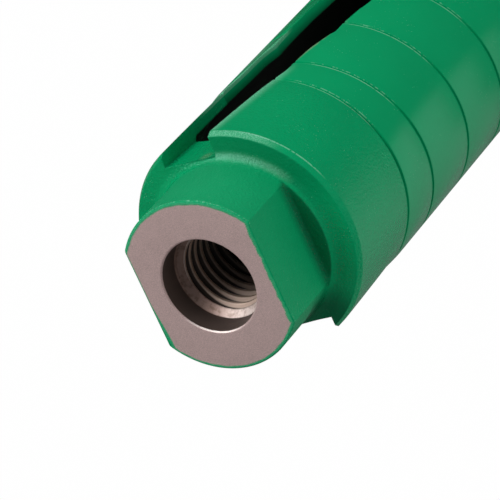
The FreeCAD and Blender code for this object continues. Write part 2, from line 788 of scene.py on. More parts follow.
@dataclass(frozen=True)
class GreenPaint:
    """Semi-gloss spray paint with a fine orange peel.

    Attributes:
        body: colour of the paint.
        dust_and_highlights: colour of pale dust specks on it, also of its painted highlights.
        scuff: colour where it is rubbed.
        primer: colour of the specks where it is thin.
        roughness: roughness of the glossy paint.
        matt_roughness: roughness where it has no gloss.
        gloss: strength of its reflections.
        matt_gloss: their strength where it has no gloss.
        gloss_tint: tint of the reflections.
        peel: size of the orange peel's spots.
        peel_depth: how deep the orange peel is.
    """

    body: Colour = (0.0004, 0.285, 0.105, 1.0)
    # Pale colour for dust specks and for painted highlights.
    dust_and_highlights: Colour = (0.22, 0.56, 0.38, 1.0)
    scuff: Colour = (0.17, 0.25, 0.14, 1.0)
    primer: Colour = (0.085, 0.060, 0.036, 1.0)
    roughness: float = 0.19
    matt_roughness: float = 0.8
    gloss: float = 0.42
    matt_gloss: float = 0.02
    gloss_tint: Colour = (0.30, 1.0, 0.75, 1.0)
    peel: float = 0.6
    peel_depth: float = 0.020

    def coat(self, graph: Graph, at: Place, wear: Wear,
             normal: bpy.types.NodeSocket) -> bpy.types.NodeSocket:
        """The paint's shader.

        Args:
            graph: the material's nodes.
            at: the place on the piece.
            wear: what has happened to the paint.
            normal: normal of the surface.

        Returns:
            The shader.
        """
        cloud = graph.noise(at, 9.0) * 0.10 + 0.95
        patches = graph.noise(at, 5.0, 2.0).rise(0.54, 0.66) * 0.8 + 0.06
        specks = graph.dots(at, 0.5, 0.07) * patches * 0.5
        brown = graph.noise(at, 0.2, 2.0).rise(0.57, 0.68) * wear.thin
        # Painted shade darkens the body colour; pale dust and painted highlights lighten it.
        body = graph.tint(self.body, cloud * wear.shade)
        colour = graph.blend(brown, graph.blend(specks.most(wear.pale), body, self.dust_and_highlights), self.primer)
        colour = graph.blend(wear.worn, colour, self.scuff)
        grain = graph.noise(at, 0.22, 2.0)
        glossy = graph.surface({
            "Base Color": colour,
            "Roughness": self.roughness + grain * 0.08 + wear.pale * 0.1 + wear.dull,
            "Specular IOR Level": self.gloss, "Specular Tint": self.gloss_tint,
            "Normal": graph.relief(graph.noise(at, self.peel, 3.0), self.peel_depth, normal)})
        plain = graph.surface({
            "Base Color": colour, "Roughness": self.matt_roughness,
            "Specular IOR Level": self.matt_gloss, "Normal": normal})
        return graph.over(wear.matt, glossy, plain)


@dataclass(frozen=True)
class BareSteel:
    """Turned steel with no paint on it; some of its colours hold painted light and shade."""

    face: Colour = (0.592, 0.435, 0.417, 1.0)
    # Painted highlight: the lit rim of the socket and the lit side of the cone.
    edge: Colour = (0.74, 0.66, 0.62, 1.0)
    # Darkened steel of the recess wall, as painted shade.
    wall: Colour = (0.10, 0.072, 0.062, 1.0)
    cone: Colour = (0.68, 0.46, 0.39, 1.0)
    thread: Colour = (0.66, 0.50, 0.41, 1.0)
    # Near-black painted shade in the thread's valleys.
    valley_shade: Colour = (0.06, 0.044, 0.036, 1.0)
    rust: Colour = (0.26, 0.15, 0.10, 1.0)
    metallic: float = 0.45
    roughness: float = 0.46
    grain_depth: float = 0.008


@dataclass(frozen=True)
class SegmentMetal:
    """Sintered metal that holds the grit."""

    matrix: Colour = (0.105, 0.092, 0.080, 1.0)
    grit: Colour = (0.42, 0.40, 0.30, 1.0)
    metallic: float = 0.55
    roughness: float = 0.62


@dataclass
class SideSlot:
    """The slanted slot on each side, as its cutter left it.

    Attributes:
        shoulder: height of the hub's shoulder.
        length: from the shoulder to the start of the round end.
        floor: distance of the floor in the hub from the axis.
        high_flare: how far the back slot's high wall runs out at the shoulder.
        low_flare: the same for its low wall.
        flare_reach: how far below the shoulder that goes.
        back_deeper: how much deeper the back slot's floor lies.
        end_steps: straight pieces in the round end.
        barrel_floor: how deep the cut goes into the tube, from the axis.
        outside: where the cut starts, from the axis.
        above: how far the cut runs on above the shoulder.
        slant: how much it leans there.
        high_wall: place across and depth below the shoulder, down the wall towards +X.
        low_wall: the same, down the wall towards -X.
    """

    shoulder: float
    length: float = 80.0
    floor: float = 15.7
    high_flare: float = 0.9
    low_flare: float = 1.3
    flare_reach: float = 12.0
    back_deeper: float = 0.3
    end_steps: int = 16
    barrel_floor: float = 8.0
    outside: float = 26.0
    above: float = 14.0
    slant: float = 0.146
    high_wall: tuple[Point, ...] = (
        (8.1, 0), (7.35, 6), (6.95, 8.5), (6.0, 16), (5.6, 19.5), (4.35, 26), (4.2, 29), (3.95, 31.5),
        (3.3, 33), (2.5, 34.8), (2.7, 36.6), (2.85, 41), (2.7, 46), (2.3, 51), (-1.78, 80))
    low_wall: tuple[Point, ...] = (
        (-1.9, 0), (-3.75, 13.5), (-4.85, 19.5), (-5.5, 23), (-5.62, 26.5), (-5.95, 31), (-6.85, 35.8),
        (-7.0, 36.6), (-7.4, 38), (-7.45, 41.5), (-7.9, 47), (-8.35, 50), (-11.88, 80))

    def wall(self, points: tuple[Point, ...]) -> list[Point]:
        """One wall of the slot, led on past the top of the shoulder.

        Args:
            points: place across and depth below the shoulder of each point.

        Returns:
            X and Z of its points, from the top down.
        """
        lead = (points[0][0] + self.slant * self.above, self.shoulder + self.above)
        return [lead, *smooth_line([(x, self.shoulder - depth) for x, depth in points])]

    def outline(self) -> list[Point]:
        """Outline of the slot seen from the side.

        Returns:
            X and Z of its points.
        """
        high = self.wall(self.high_wall)
        low = self.wall(self.low_wall)
        reach = (high[-1][0] - low[-1][0]) / 2
        middle = (high[-1][0] + low[-1][0]) / 2
        bends = [math.pi * k / self.end_steps for k in range(1, self.end_steps)]
        end = [(middle + reach * math.cos(bend), self.shoulder - self.length - reach * math.sin(bend))
               for bend in bends]
        return high + end + low[::-1]

    def cutters(self, floor: float) -> list[bmesh.types.BMesh]:
        """Bodies that cut the slots on both sides.

        Args:
            floor: how far from the axis the cut ends.

        Returns:
            One body for each side.
        """
        return half_turns(prism(self.outline(), -floor, -self.outside))

    def dust_and_sheen_edge(self, graph: Graph, at: Place) -> Signal:
        """Where pale dust and a painted sheen lie beside the slots.

        Args:
            graph: the material's nodes.
            at: the place on the piece.

        Returns:
            How much of it lies there, from 0 to 1.
        """
        below = self.shoulder - at.z
        across = at.x * graph.sum("SIGN", at.y) * -1
        high = (across - 5.6 + (below - 19.5) * 0.19).band(-0.2, 0.9, 0.7) * below.band(15, 45, 4)
        low = (1 - (-2.0 - across - below * 0.145).rise(0.0, 2.2)) ** 2.0 * (-2.0 - across).rise(-0.4, 0.0)
        return (high * 0.4).most(low * below.band(1.6, 21, 5) * 0.42)

    def flared(self, wall: tuple[Point, ...], width: float) -> tuple[Point, ...]:
        """A wall of the slot that runs out sideways towards the shoulder.

        Args:
            wall: place across and depth below the shoulder of each point.
            width: how far it has moved at the shoulder.

        Returns:
            The moved points.
        """
        return tuple((x + width * max(0.0, 1 - depth / self.flare_reach), depth) for x, depth in wall)

    def hub_cutters(self) -> list[bmesh.types.BMesh]:
        """Bodies that cut the slots into the shoulder, where the back one runs out a little wider.

        Returns:
            One body for each side.
        """
        front = self.cutters(self.floor)[0]
        back = replace(self, high_wall=self.flared(self.high_wall, self.high_flare),
                       low_wall=self.flared(self.low_wall, -self.low_flare))
        return [front, back.cutters(self.floor - self.back_deeper)[1]]


@dataclass
class WallHollow:
    """The shallow hollow in the wall beside each slot.

    Attributes:
        shoulder: height of the hub's shoulder.
        radius: radius of the wall.
        depth: its greatest depth.
        length: from the shoulder to the deepest place.
        runout: from there to its end.
        bend_depth: share of the depth at the bend in its bottom.
        bend_length: share of the length at the bend.
        turn: how far round the axis it lies, in degrees.
    """

    shoulder: float
    radius: float
    depth: float = 0.5
    length: float = 19.0
    runout: float = 4.5
    bend_depth: float = 0.55
    bend_length: float = 0.62
    turn: float = 30.0

    def cutters(self) -> list[bmesh.types.BMesh]:
        """Bodies that cut the hollows on both sides.

        Returns:
            One body for each side.
        """
        deepest = self.shoulder - self.length
        side = [(self.radius + 1, self.shoulder), (self.radius, self.shoulder),
                (self.radius - self.depth * self.bend_depth, self.shoulder - self.length * self.bend_length),
                (self.radius - self.depth, deepest), (self.radius, deepest - self.runout),
                (self.radius + 1, deepest - self.runout)]
        body = prism(side, -self.radius, self.radius)
        turned = Matrix.Rotation(math.radians(self.turn - 90), 3, UP)
        bmesh.ops.rotate(body, verts=body.verts, cent=(0, 0, 0), matrix=turned)
        return half_turns(body)


@dataclass
class Hub:
    """The turned hub: socket, boss, neck, shoulder, plug and skirt.

    Attributes:
        paint: the paint outside.
        steel: the bare steel of the end face and the socket.
        boss_radius: radius of the boss.
        boss_length: from the shoulder to the end face.
        neck_round: radius of the hollow between boss and shoulder.
        neck_radius: where the shoulder's bevel starts.
        chamfer: height of the bevel.
        across_flats: width over the spanner flats.
        flat_length: length of the flats.
        flat_round: radius at their foot.
        wall: thickness of the skirt.
        plug: thickness below the shoulder.
        plug_corner: bevel inside, between plug and skirt.
        thread_pitch: pitch of the thread.
        thread_radius: its outer radius.
        thread_start: where its cut starts, in degrees.
        thread_steps: pieces in a turn of it.
        crest_radius: its inner radius.
        recess_radius: radius of the recess above the thread.
        recess_depth: depth of the recess.
        seam_depth: depth of the seam's V.
        seam_half: half its width.
        mouth: bevel at the socket's mouth.
        soft_edge: radius that edges seem to have.
        steps: flats in a turn.
        top: height of the end face.
        seam: height of the seam.
        radius: radius of the wall.
        bore: radius inside the skirt.
        shoulder: height of the shoulder.
        flat_foot: height of the foot of the flats.
        plug_end: height of the plug's underside.
        ledge: height of the recess's floor.
        cone_end: height where the cone meets the thread.
        slot: the slots in it.
    """

    paint: GreenPaint
    steel: BareSteel
    boss_radius: float = 15.0
    boss_length: float = 14.0
    neck_round: float = 4.2
    neck_radius: float = 19.2
    chamfer: float = 1.1
    across_flats: float = 24.0
    flat_length: float = 12.8
    flat_round: float = 0.9
    wall: float = 2.0
    plug: float = 7.5
    plug_corner: float = 2.0
    thread_pitch: float = 2.0
    thread_radius: float = 8.0
    thread_start: float = 200.0
    thread_steps: int = 96
    crest_radius: float = 6.917
    recess_radius: float = 8.2
    recess_depth: float = 4.4
    seam_depth: float = 0.3
    seam_half: float = 0.3
    mouth: float = 0.22
    soft_edge: float = 0.25
    steps: int = 240
    top: float = field(init=False)
    seam: float = field(init=False)
    radius: float = field(init=False)
    bore: float = field(init=False)
    shoulder: float = field(init=False)
    flat_foot: float = field(init=False)
    plug_end: float = field(init=False)
    ledge: float = field(init=False)
    cone_end: float = field(init=False)
    slot: SideSlot = field(init=False)

    def __post_init__(self) -> None:
        """Takes the hub's reach from the frame."""
        low, high = node_span("hub")
        self.top = high.z
        self.seam = low.z
        self.radius = high.x
        self.bore = self.radius - self.wall
        self.shoulder = self.top - self.boss_length
        self.flat_foot = self.top - self.flat_length
        self.plug_end = self.shoulder - self.plug
        self.ledge = self.top - self.recess_depth
        self.cone_end = self.ledge - (self.recess_radius - self.crest_radius)
        self.slot = SideSlot(self.shoulder)

    def outline(self) -> list[Point]:
        """Half section of the hub.

        Returns:
            Distance from the axis and height of its points.
        """
        corners = [(self.recess_radius + self.mouth, self.top, 0.05), (self.boss_radius, self.top, 0.4),
                   (self.boss_radius, self.shoulder, self.neck_round),
                   (self.neck_radius, self.shoulder, 0.15),
                   (self.radius, self.shoulder - self.chamfer, 0.3),
                   (self.radius, self.seam + self.seam_half, 0.1),
                   (self.radius - self.seam_depth, self.seam, 0.0),
                   (self.bore, self.seam, 0.0), (self.bore, self.plug_end - self.plug_corner, 0.3),
                   (self.bore - self.plug_corner, self.plug_end, 0.3),
                   (self.crest_radius + 0.5, self.plug_end, 0.1),
                   (self.crest_radius, self.plug_end + 0.5, 0.0), (self.crest_radius, self.cone_end, 0.1),
                   (self.recess_radius, self.ledge, 0.12),
                   (self.recess_radius, self.top - self.mouth, 0.05)]
        return rounded(corners, 8)

    def thread(self) -> bmesh.types.BMesh:
        """The body that cuts the thread into the bore.

        Returns:
            The closed mesh.
        """
        flank = math.tan(math.radians(30))
        inner = self.crest_radius - 0.35
        tip = self.thread_pitch / 16
        wide = tip + (self.thread_radius - inner) * flank
        section = [(inner, -wide), (self.thread_radius, -tip), (self.thread_radius, tip), (inner, wide)]
        low = self.plug_end - self.thread_pitch
        turns = (self.ledge + 0.3 - low) / self.thread_pitch
        return helix_bar(section, self.thread_pitch, turns, self.thread_start, low, self.thread_steps)

    def flats(self) -> list[bmesh.types.BMesh]:
        """Bodies that cut the spanner flats.

        Returns:
            One body for each flat.
        """
        near = self.across_flats / 2
        outline = rounded([(near, self.flat_foot, self.flat_round), (near + 9, self.flat_foot, 0.0),
                           (near + 9, self.top + 2, 0.0), (near, self.top + 2, 0.0)])
        return half_turns(prism(outline, -self.radius, self.radius))

    def build(self) -> bpy.types.Object:
        """Makes the hub's mesh.

        Returns:
            The dressed hub.
        """
        piece = as_object("hub_dressed", lathe(self.outline(), self.steps))
        cutters = [self.thread(), *self.flats()]
        cutters += self.slot.hub_cutters()
        cutters += WallHollow(self.shoulder, self.radius).cutters()
        for cutter in cutters:
            carve(piece, cutter)
        shade(piece, Shading.TURNED)
        seat(piece, "hub", self.material())
        return piece

    def material(self) -> bpy.types.Material:
        """Paint outside, bare steel on the end face and in the socket.

        Returns:
            The hub's material.
        """
        graph = Graph("hub_finish")
        at = graph.place()
        lines = TurnedLines(self.seam, self.radius)
        gaps = lines.gaps(graph, at)
        lips, bottoms, matt = lines.marks(graph, at, gaps)
        normal = graph.relief(lines.bulge(gaps), lines.crown, graph.soft_edges(self.soft_edge))
        bare, fringe = self.bare(graph, at)
        bevel = at.z.band(self.shoulder - self.chamfer, self.shoulder + 0.05, 0.08)
        bevel = bevel * at.r.rise(self.neck_radius - 0.02, self.neck_radius + 0.12)
        foot = self.foot(at)
        shade_share = self.shade_share(at, bevel, foot) * (1 - bottoms * lines.bottom_shade)
        # Pale: dust, painted highlights and painted glints. Shade: painted shade on the shoulder, in the
        # neck, at the foot of the flat, in the line bottoms and inside the skirt.
        wear = Wear(
            pale=self.dust_and_highlights(graph, at, bevel, fringe).most(lips * lines.glint_strength),
            shade=shade_share * (1 - self.inside(at) * 0.85), matt=matt,
            thin=self.crumbs(at, foot), worn=self.stain(at), dull=self.rough(at))
        paint = self.paint.coat(graph, at, wear, normal)
        return graph.finish(graph.over(bare, paint, self.metal(graph, at, normal)))

    def dust_and_highlights(self, graph: Graph, at: Place, bevel: Signal, fringe: Signal) -> Signal:
        """Pale marks: painted highlights on the shoulder's bevel, along its crest and in the neck, the
        paint's thin edge on the end face, a pale dotted line just below it, and pale dust with painted sheen
        beside the slots.

        Args:
            graph: the material's nodes.
            at: the place on the piece.
            bevel: 1 on the shoulder's bevel.
            fringe: thin edge of the paint on the end face.

        Returns:
            How pale it is there, from 0 to 1.
        """
        speckle = graph.noise(at, 0.20, 2.0).rise(0.40, 0.60) * 0.7 + 0.3
        # Painted highlight on the lit side of the bevel, broken by a speckle.
        beside = at.facing(258).rise(0.84, 0.97)
        crest_z = self.shoulder - self.chamfer
        # Painted highlight along the bevel's crest, on the lit side.
        crest = at.z.band(crest_z - 0.08, crest_z + 0.08, 0.08)
        crest = crest * at.facing(226).rise(0.90, 0.97) * graph.noise(at, 0.4, 2.0).rise(0.34, 0.5)
        # Painted highlight: a pale band in the neck, on its lit side.
        neck = at.r.band(self.boss_radius + 0.7, self.boss_radius + 3.0, 0.5)
        neck = neck * at.z.band(self.shoulder + 0.28, self.shoulder + 2.2, 0.3)
        neck = neck * at.facing(248).rise(0.80, 0.93) * (1 - at.x.rise(-2.1, -1.9))
        rim = at.z.band(self.top - 0.42, self.top - 0.24, 0.1) * graph.noise(at, 0.25, 2.0).rise(0.50, 0.62)
        rim = rim * at.r.rise(self.boss_radius - 0.7, self.boss_radius - 0.5)
        # Pale dust with painted sheen beside the slots.
        strip = self.slot.dust_and_sheen_edge(graph, at) * at.r.rise(self.radius - 0.6, self.radius - 0.45)
        strip = strip * (1 - at.z.rise(self.shoulder - 1.6, self.shoulder - 1.1))
        pale = speckle * (bevel * beside * 0.50 + fringe * 0.2) + neck * (speckle * 0.24 + 0.12)
        return (pale + crest * 0.5 + rim * 0.55).most(strip)

    def foot(self, at: Place) -> Signal:
        """The hollow at the foot of the flat on the -X side.

        Args:
            at: the place on the piece.

        Returns:
            1 in it, 0 elsewhere.
        """
        low = self.flat_foot
        hollow = (1 - at.z.rise(low + 0.3, low + 2.4)) * at.z.rise(low - 0.3, low)
        hollow = hollow * (at.x * -1).rise(self.across_flats / 2 - 0.4, self.across_flats / 2 + 0.2)
        return hollow * (1 - at.r.rise(self.boss_radius + 0.3, self.boss_radius + 0.9))

    def crumbs(self, at: Place, foot: Signal) -> Signal:
        """Where brown specks show: at the foot of the flat and in the neck.

        Args:
            at: the place on the piece.
            foot: 1 in the hollow at the foot of the flat.

        Returns:
            How many of them, from 0 to 1.
        """
        at_foot = (1 - (at.z - self.flat_foot - 0.5).size().rise(0.2, 0.9)) * foot * 0.45
        neck = at.r.band(self.boss_radius + 1.0, self.neck_radius - 0.8, 0.6)
        neck = neck * at.z.band(self.shoulder, self.shoulder + 3, 1.0)
        return at_foot.most(neck * at.facing(166).rise(0.85, 0.98) * 0.55)

    def stain(self, at: Place) -> Signal:
        """A brownish spot on the front slot's floor.

        Args:
            at: the place on the piece.

        Returns:
            How strong it is, from 0 to 1.
        """
        across, up = at.x - 0.6, at.z - self.shoulder + 1.1
        away = (across ** 2.0 + up ** 2.0 + (at.y + self.slot.floor) ** 2.0) ** 0.5
        return (1 - away.rise(0.4, 1.5)) * 0.3

    def shade_share(self, at: Place, bevel: Signal, foot: Signal) -> Signal:
        """Soft shade on the shoulder, in the neck and at the foot of the flat.

        Args:
            at: the place on the piece.
            bevel: 1 on the shoulder's bevel.
            foot: 1 in the hollow at the foot of the flat.

        Returns:
            How light the paint stays, where 1 is plain paint.
        """
        shoulder = at.z.band(self.shoulder - 0.05, self.shoulder + 0.35, 0.4) * (1 - bevel)
        shoulder = shoulder * at.facing(245).rise(0.5, 0.9) * 0.22
        neck = at.z.band(self.shoulder, self.shoulder + 6, 0.1) * at.facing(108).rise(0.80, 0.97) * 0.62
        return 1 - foot * 0.45 - neck - shoulder

    def inside(self, at: Place) -> Signal:
        """The walls inside the skirt, which no light reaches, without the slots' floors.

        Args:
            at: the place on the piece.

        Returns:
            1 inside, 0 elsewhere.
        """
        floor = self.slot.floor - self.slot.back_deeper
        on_floor = at.y.size().rise(floor - 0.15, floor - 0.05)
        on_floor = on_floor * at.z.rise(self.plug_end - 2.2, self.plug_end - 2.0)
        inner = 1 - at.r.rise(self.bore - 0.1, self.bore + 0.3)
        return inner * (1 - at.z.rise(self.plug_end - 0.2, self.plug_end + 1.6)) * (1 - on_floor)

    def rough(self, at: Place) -> Signal:
        """Where the paint is duller: on the flats and round the end face.

        Args:
            at: the place on the piece.

        Returns:
            How much rougher it is than plain paint.
        """
        flat = self.across_flats / 2
        flats = 1 - at.x.size().rise(flat + 0.02, flat + 0.12)
        flats = flats * at.z.rise(self.flat_foot, self.flat_foot + 0.6)
        lip = at.z.rise(self.top - 0.45, self.top - 0.2)
        lip = lip * at.r.rise(self.boss_radius - 0.6, self.boss_radius - 0.3)
        return flats * 0.3 + lip * 0.25

    def bare(self, graph: Graph, at: Place) -> tuple[Signal, Signal]:
        """Where the hub has no paint: on its end face, but for the overspray, and in its socket.

        Args:
            graph: the material's nodes.
            at: the place on the piece.

        Returns:
            1 on bare steel and 0 on paint, then the thin edge of the paint beside it.
        """
        spray = graph.noise(at, 1.9, 2.0) - 0.5 + (graph.noise(at, 0.15, 2.0) - 0.5) * 0.9
        rough_side = 1 - at.x.rise(-1, 1)
        round_rim = self.boss_radius - 0.6 - at.r + spray * 0.4
        flat_rim = self.across_flats / 2 - 0.12 - at.x.size() + (spray - 0.25) * (rough_side * 0.75 + 0.15)
        flat_rim = flat_rim - at.y.rise(0, 9) * (1 - rough_side) * 0.7 - rough_side * 0.42
        rim = round_rim.least(flat_rim)
        on_face = at.z.rise(self.top - 0.12, self.top - 0.04)
        in_socket = 1 - at.r.rise(self.recess_radius + 0.2, self.recess_radius + 0.3)
        return (on_face * rim.rise(-0.12, 0.14)).most(in_socket), rim.band(-0.4, -0.1, 0.15) * on_face

    def metal(self, graph: Graph, at: Place, normal: bpy.types.NodeSocket) -> bpy.types.NodeSocket:
        """Bare steel: grey on the end face, brown in the socket, with painted shade and painted highlights
        there.

        Args:
            graph: the material's nodes.
            at: the place on the piece.
            normal: normal of the surface.

        Returns:
            The shader.
        """
        grain = graph.noise(at, 0.3, 3.0)
        in_socket = 1 - at.z.rise(self.top - 0.32, self.top - 0.24)
        marks = graph.noise(at, 0.5, 1.0, (0.15, 4.0))
        height = grain * 0.5 + marks * in_socket * 0.6
        return graph.surface({
            "Base Color": graph.blend(in_socket, self.face_colour(graph, at, grain, in_socket),
                                      self.socket_colour(graph, at)),
            "Metallic": self.steel.metallic, "Roughness": self.steel.roughness + grain * 0.08,
            "Normal": graph.relief(height, self.steel.grain_depth, normal)})

    def face_colour(self, graph: Graph, at: Place, grain: Signal, in_socket: Signal) -> bpy.types.NodeSocket:
        """Speckled grey of the end face, with a painted highlight on one side of the socket's rim.

        Args:
            graph: the material's nodes.
            at: the place on the piece.
            grain: the steel's grain.
            in_socket: 1 below the face.

        Returns:
            The colour.
        """
        mottle = graph.noise(at, 2.5, 2.0)
        fine = graph.noise(at, 0.13, 2.0).rise(0.30, 0.72)
        face = graph.tint(self.steel.face, fine * 0.34 + grain * 0.24 + mottle * 0.16 + 0.63)
        rim = (1 - at.z.rise(self.top - 0.06, self.top - 0.02)) * (1 - in_socket)
        # Painted highlight on the socket's rim, on one side.
        shine = rim * at.facing(73).rise(0.70, 0.97) * graph.noise(at, 0.5, 2.0).rise(0.25, 0.5)
        return graph.blend(shine, face, self.steel.edge)

    def socket_colour(self, graph: Graph, at: Place) -> bpy.types.NodeSocket:
        """Brown of the recess, the stained cone and the thread, with painted light and shade: the recess
        wall darkened, crests drawn wider on the lit side, painted shade deep in the thread and painted
        highlights on the cone.

        Args:
            graph: the material's nodes.
            at: the place on the piece.

        Returns:
            The colour.
        """
        in_recess = at.z.rise(self.ledge - 0.05, self.ledge + 0.1)
        on_cone = at.z.rise(self.cone_end - 0.1, self.cone_end + 0.05)
        # Painted light: on the lit side the bright crests are drawn wider.
        lit_side = at.facing(112).rise(0.0, 0.9)
        crest = 1 - (at.r - lit_side * 0.48).rise(self.crest_radius + 0.04, self.crest_radius + 0.30)
        # Painted shade: the thread grows darker deeper in.
        down = 1 - at.z.rise(self.cone_end - 11, self.cone_end - 1) ** 0.8
        thread = graph.blend(crest, self.steel.valley_shade, self.steel.thread)
        thread = graph.tint(thread, 1 - down * 0.85)
        rust = graph.noise(at, 0.9, 3.0).rise(0.44, 0.66) * 0.5
        # Painted highlight on the lit side of the cone.
        lit_cone = graph.blend(at.facing(118).rise(0.3, 0.95) * 0.8, self.steel.cone, self.steel.edge)
        cone = graph.blend(rust, lit_cone, self.steel.rust)
        # Painted light and shade: the cone is lighter on one side.
        cone = graph.tint(cone, at.facing(120).rise(-0.2, 1.0) * 0.66 + 0.42)
        # Painted glint along the cone's inner edge.
        inner_edge = at.z.band(self.cone_end - 0.1, self.cone_end + 0.12, 0.06)
        inner_edge = inner_edge * at.facing(320).rise(0.5, 0.9)
        cone = graph.blend(inner_edge * 0.45, cone, self.steel.edge)
        return graph.blend(in_recess, graph.blend(on_cone, thread, cone), self.steel.wall)


@dataclass
class Barrel:
    """The tube with its spiral groove and the lower part of the slots.

    Attributes:
        paint: the paint outside.
        shoulder: height of the hub's shoulder.
        wall: thickness of the tube.
        groove_pitch: climb of the groove in a turn.
        groove_length: how far it runs below the seam.
        groove_angle: where it meets the seam, in degrees.
        groove_depth: depth of the groove.
        groove_half: half its width.
        groove_steps: pieces in a turn of it.
        seam_half: half the width of the seam's V.
        soft_edge: radius that edges seem to have.
        dark: near-black painted shade inside the tube.
        steps: flats in a turn.
        rim: height of the end that carries the segments.
        seam: height of the seam.
        radius: radius of the wall.
        bore: radius inside the tube.
    """

    paint: GreenPaint
    shoulder: float
    wall: float = 2.0
    groove_pitch: float = 15.2
    groove_length: float = 108.0
    groove_angle: float = 40.5
    groove_depth: float = 0.3
    groove_half: float = 0.28
    groove_steps: int = 120
    seam_half: float = 0.3
    soft_edge: float = 0.10
    # Near-black painted shade inside the tube.
    dark: Colour = (0.006, 0.009, 0.006, 1.0)
    steps: int = 240
    rim: float = field(init=False)
    seam: float = field(init=False)
    radius: float = field(init=False)
    bore: float = field(init=False)

    def __post_init__(self) -> None:
        """Takes the tube's reach from the frame."""
        low, high = node_span("barrel")
        self.rim = low.z
        self.seam = high.z
        self.radius = high.x
        self.bore = self.radius - self.wall

    def tube(self) -> bmesh.types.BMesh:
        """The plain tube, a little too long.

        Returns:
            The closed mesh.
        """
        over = self.seam + 3
        rings = 10
        outer = [(self.radius, self.rim + (over - self.rim) * k / rings) for k in range(rings + 1)]
        return lathe([(self.bore, self.rim), *outer, (self.bore, over)], self.steps)

    def groove(self) -> bmesh.types.BMesh:
        """The body that cuts the spiral groove, a little uneven.

        Returns:
            The closed mesh.
        """
        depth, half, lip = self.groove_depth, self.groove_half, 0.3
        section = [(self.radius + lip, -half * 1.8), (self.radius, -half),
                   (self.radius - depth * 0.8, -half * 0.42), (self.radius - depth, 0),
                   (self.radius - depth * 0.8, half * 0.42), (self.radius, half),
                   (self.radius + lip, half * 1.8)]
        low = self.seam - self.groove_length
        turns = (self.groove_length + 1.5) / self.groove_pitch
        start = self.groove_angle - 360 * self.groove_length / self.groove_pitch
        body = helix_bar(section, self.groove_pitch, turns, start, low, self.groove_steps)
        for vert in body.verts:
            side = abs(vert.co.y) / Vector(vert.co[:2]).length
            shallow = min(1.0, max(0.0, (side - 0.93) / 0.05)) * 0.14
            wobble = shallow + noise.noise(vert.co * 420) * 0.05 + noise.noise(vert.co * 1900) * 0.035
            vert.co += Vector((vert.co.x, vert.co.y, 0)).normalized() * wobble * MM
            vert.co.z += noise.noise(vert.co * 300 + UP) * 0.05 * MM
        return body

    def end(self) -> bmesh.types.BMesh:
        """The ring that is cut off to leave the seam's lower half.

        Returns:
            The closed mesh.
        """
        depth, over = self.groove_depth, self.seam + 6
        low = self.seam - 2 * self.seam_half
        return lathe([(1, self.seam), (self.radius - depth, self.seam), (self.radius + depth, low),
                      (self.radius + 4, low), (self.radius + 4, over), (1, over)], self.steps // 2)

    def build(self) -> bpy.types.Object:
        """Makes the tube's mesh.

        Returns:
            The dressed tube.
        """
        piece = as_object("barrel_dressed", self.tube())
        cutters = [self.groove(), self.end()]
        cutters += SideSlot(self.shoulder).cutters(SideSlot.barrel_floor)
        cutters += WallHollow(self.shoulder, self.radius).cutters()
        for cutter in cutters:
            carve(piece, cutter)
        shade(piece, Shading.TURNED)
        seat(piece, "barrel", self.material())
        return piece

    def material(self) -> bpy.types.Material:
        """Paint outside, darkening towards the bore as painted shade; inside, near-black painted shade with
        a mist of green overspray.

        Returns:
            The tube's material.
        """
        graph = Graph("barrel_finish")
        at = graph.place()
        lines = TurnedLines(self.seam, self.radius)
        gaps = lines.gaps(graph, at)
        lips, bottoms, matt = lines.marks(graph, at, gaps)
        normal = graph.soft_edges(self.soft_edge)
        rounded_bands = graph.relief(lines.bulge(gaps), lines.crown, normal)
        inside = 1 - at.r.rise(self.bore + 0.02, self.bore + 0.25)
        # Painted shade: the paint grows darker towards the bore.
        depth = 1 - at.r.rise(self.bore, self.bore + 1.7)
        outside = at.r.rise(self.radius - 0.6, self.radius - 0.45)
        # Pale dust with painted sheen beside the slots.
        strip = SideSlot(self.shoulder).dust_and_sheen_edge(graph, at) * outside
        # Pale: dust, painted sheen and painted glints. Shade: painted shade towards the bore and in the line
        # bottoms.
        wear = Wear(pale=strip.most(lips * lines.glint_strength),
                    shade=(1 - depth * 0.55) * (1 - bottoms * lines.bottom_shade),
                    matt=matt, worn=self.scuffs(graph, at) * outside * 0.7)
        paint = self.paint.coat(graph, at, wear, rounded_bands)
        # Inside: near-black painted shade, with a mist of green overspray.
        mist = graph.noise(at, 3.0, 3.0).rise(0.55, 0.85) * 0.35
        dark = graph.blend(mist, self.dark, graph.tint(self.paint.body, 0.2))
        steel = graph.surface({
            "Base Color": dark, "Roughness": 0.6, "Specular IOR Level": 0.15,
            "Normal": graph.relief(graph.noise(at, 0.4, 2.0), 0.01, normal)})
        return graph.finish(graph.over(inside, paint, steel))

    def scuffs(self, graph: Graph, at: Place) -> Signal:
        """The rubbed trail along the low wall of each slot.

        Args:
            graph: the material's nodes.
            at: the place on the piece.

        Returns:
            How worn the paint is there, from 0 to 1.
        """
        across = at.x * graph.sum("SIGN", at.y) * -1
        below = self.shoulder - at.z
        trail = (-1.9 - across - below * 0.135).band(-0.7, 0.12, 0.15)
        return trail * below.band(-1, 36, 8) * graph.noise(at, 2.2, 3.0).rise(0.36, 0.56)


